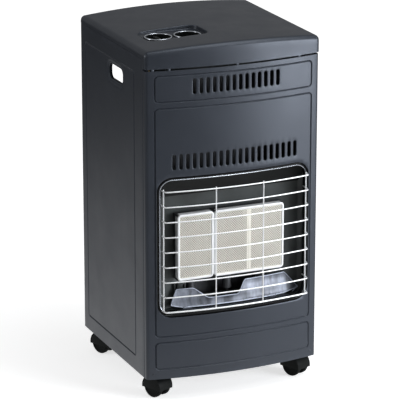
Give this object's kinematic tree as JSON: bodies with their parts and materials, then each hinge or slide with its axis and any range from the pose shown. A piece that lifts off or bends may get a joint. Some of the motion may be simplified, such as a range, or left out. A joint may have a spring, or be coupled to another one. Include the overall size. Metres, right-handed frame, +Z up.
{
  "type": "portable gas cabinet heater",
  "caption": "Portable gas cabinet heater: bowed steel cabinet on castors, ceramic burner plaques behind a wire guard, controls sunk in the lid and a rear bay for a gas bottle.",
  "frame": {"origin": "on the floor, under the middle of the heater's bounding box", "axes": "+X to the right as seen from the front, +Y to the back, +Z up; the wire guard faces -Y"},
  "size_m": [0.403, 0.4224, 0.7914],
  "materials": {
    "body": "satin dark slate paint",
    "wire": "bright chrome wire",
    "steel": "plain sheet steel",
    "reflector": "bright reflector sheet",
    "soot": "dark heat-resistant coating",
    "ceramic": "matte perforated ceramic",
    "brass": "turned brass",
    "copper": "drawn copper tube",
    "plastic": "black moulded plastic",
    "rubber": "black tread and cable sheath",
    "insulator": "glazed white ceramic"
  },
  "bodies": {
    "cabinet": {"base_tray": "body", "front_panel": "body", "left_side_panel": "body", "right_side_panel": "body", "rear_top_rail": "body", "divider_panel": "steel", "top_lid": "body", "control_panel": "steel", "knob_cup": "plastic", "igniter_cup": "plastic", "knob_bezel_ring": "wire", "igniter_bezel_ring": "wire", "gas_valve": "brass", "valve_bracket": "steel", "inlet_hose_barb": "brass", "igniter_body": "plastic", "firebox_liner": "soot", "deflector": "reflector", "burner_box_left": "steel", "burner_box_right": "steel", "burner_frame_left": "steel", "burner_frame_right": "steel", "ceramic_plaque_left": "ceramic", "ceramic_plaque_centre": "ceramic", "ceramic_plaque_right": "ceramic", "venturi_left": "steel", "venturi_centre": "steel", "venturi_right": "steel", "gas_manifold": "brass", "supply_tube": "copper", "pilot_burner": "brass", "pilot_tube": "copper", "thermocouple": "copper", "spark_electrode": "insulator", "ignition_lead": "rubber", "wire_guard": "wire", "castor_front_left_mount": "steel", "castor_front_right_mount": "steel", "castor_rear_left_mount": "steel", "castor_rear_right_mount": "steel"},
    "rear_cover": {"rear_cover": "body"},
    "spindle": {"valve_spindle": "brass"},
    "knob": {"control_knob": "plastic"},
    "igniter": {"igniter_button": "plastic"},
    "castor_front_left": {"castor_front_left_hood": "plastic", "castor_front_left_axle": "steel"},
    "castor_front_left_wheel_l": {"castor_front_left_left_wheel": "rubber"},
    "castor_front_left_wheel_r": {"castor_front_left_right_wheel": "rubber"},
    "castor_front_right": {"castor_front_right_hood": "plastic", "castor_front_right_axle": "steel"},
    "castor_front_right_wheel_l": {"castor_front_right_left_wheel": "rubber"},
    "castor_front_right_wheel_r": {"castor_front_right_right_wheel": "rubber"},
    "castor_rear_left": {"castor_rear_left_hood": "plastic", "castor_rear_left_axle": "steel"},
    "castor_rear_left_wheel_l": {"castor_rear_left_left_wheel": "rubber"},
    "castor_rear_left_wheel_r": {"castor_rear_left_right_wheel": "rubber"},
    "castor_rear_right": {"castor_rear_right_hood": "plastic", "castor_rear_right_axle": "steel"},
    "castor_rear_right_wheel_l": {"castor_rear_right_left_wheel": "rubber"},
    "castor_rear_right_wheel_r": {"castor_rear_right_right_wheel": "rubber"}
  },
  "joints": [
    {"name": "rear_cover_lift", "type": "slide", "parent": "cabinet", "child": "rear_cover", "axis": [0, 0, 1], "range_m": [0, 0.02]},
    {"name": "knob_push", "type": "slide", "parent": "cabinet", "child": "spindle", "axis": [0, 0, -1], "range_m": [0, 0.005], "stiffness_N_per_m": 800, "springref_m": -0.0015},
    {"name": "knob_turn", "type": "hinge", "parent": "spindle", "child": "knob", "pos_m": [-0.126, -0.05865, 0.774], "axis": [0, 0, 1], "range_deg": [0, 210]},
    {"name": "igniter_press", "type": "slide", "parent": "cabinet", "child": "igniter", "axis": [0, 0, -1], "range_m": [0, 0.005], "stiffness_N_per_m": 1500, "springref_m": -0.001},
    {"name": "castor_front_left_swivel", "type": "hinge", "parent": "cabinet", "child": "castor_front_left", "pos_m": [-0.1655, -0.10965, 0.05], "axis": [0, 0, 1], "continuous": true},
    {"name": "castor_front_left_roll_l", "type": "hinge", "parent": "castor_front_left", "child": "castor_front_left_wheel_l", "pos_m": [-0.15899, -0.12427, 0.024], "axis": [-0.9135, -0.4067, 0], "continuous": true},
    {"name": "castor_front_left_roll_r", "type": "hinge", "parent": "castor_front_left", "child": "castor_front_left_wheel_r", "pos_m": [-0.15899, -0.12427, 0.024], "axis": [-0.9135, -0.4067, 0], "continuous": true},
    {"name": "castor_front_right_swivel", "type": "hinge", "parent": "cabinet", "child": "castor_front_right", "pos_m": [0.1655, -0.10965, 0.05], "axis": [0, 0, 1], "continuous": true},
    {"name": "castor_front_right_roll_l", "type": "hinge", "parent": "castor_front_right", "child": "castor_front_right_wheel_l", "pos_m": [0.17201, -0.12427, 0.024], "axis": [-0.9135, -0.4067, 0], "continuous": true},
    {"name": "castor_front_right_roll_r", "type": "hinge", "parent": "castor_front_right", "child": "castor_front_right_wheel_r", "pos_m": [0.17201, -0.12427, 0.024], "axis": [-0.9135, -0.4067, 0], "continuous": true},
    {"name": "castor_rear_left_swivel", "type": "hinge", "parent": "cabinet", "child": "castor_rear_left", "pos_m": [-0.158, 0.16135, 0.05], "axis": [0, 0, 1], "continuous": true},
    {"name": "castor_rear_left_roll_l", "type": "hinge", "parent": "castor_rear_left", "child": "castor_rear_left_wheel_l", "pos_m": [-0.16451, 0.17597, 0.024], "axis": [0.9135, 0.4067, 0], "continuous": true},
    {"name": "castor_rear_left_roll_r", "type": "hinge", "parent": "castor_rear_left", "child": "castor_rear_left_wheel_r", "pos_m": [-0.16451, 0.17597, 0.024], "axis": [0.9135, 0.4067, 0], "continuous": true},
    {"name": "castor_rear_right_swivel", "type": "hinge", "parent": "cabinet", "child": "castor_rear_right", "pos_m": [0.158, 0.16135, 0.05], "axis": [0, 0, 1], "continuous": true},
    {"name": "castor_rear_right_roll_l", "type": "hinge", "parent": "castor_rear_right", "child": "castor_rear_right_wheel_l", "pos_m": [0.15149, 0.17597, 0.024], "axis": [0.9135, 0.4067, 0], "continuous": true},
    {"name": "castor_rear_right_roll_r", "type": "hinge", "parent": "castor_rear_right", "child": "castor_rear_right_wheel_r", "pos_m": [0.15149, 0.17597, 0.024], "axis": [0.9135, 0.4067, 0], "continuous": true}
  ]
}
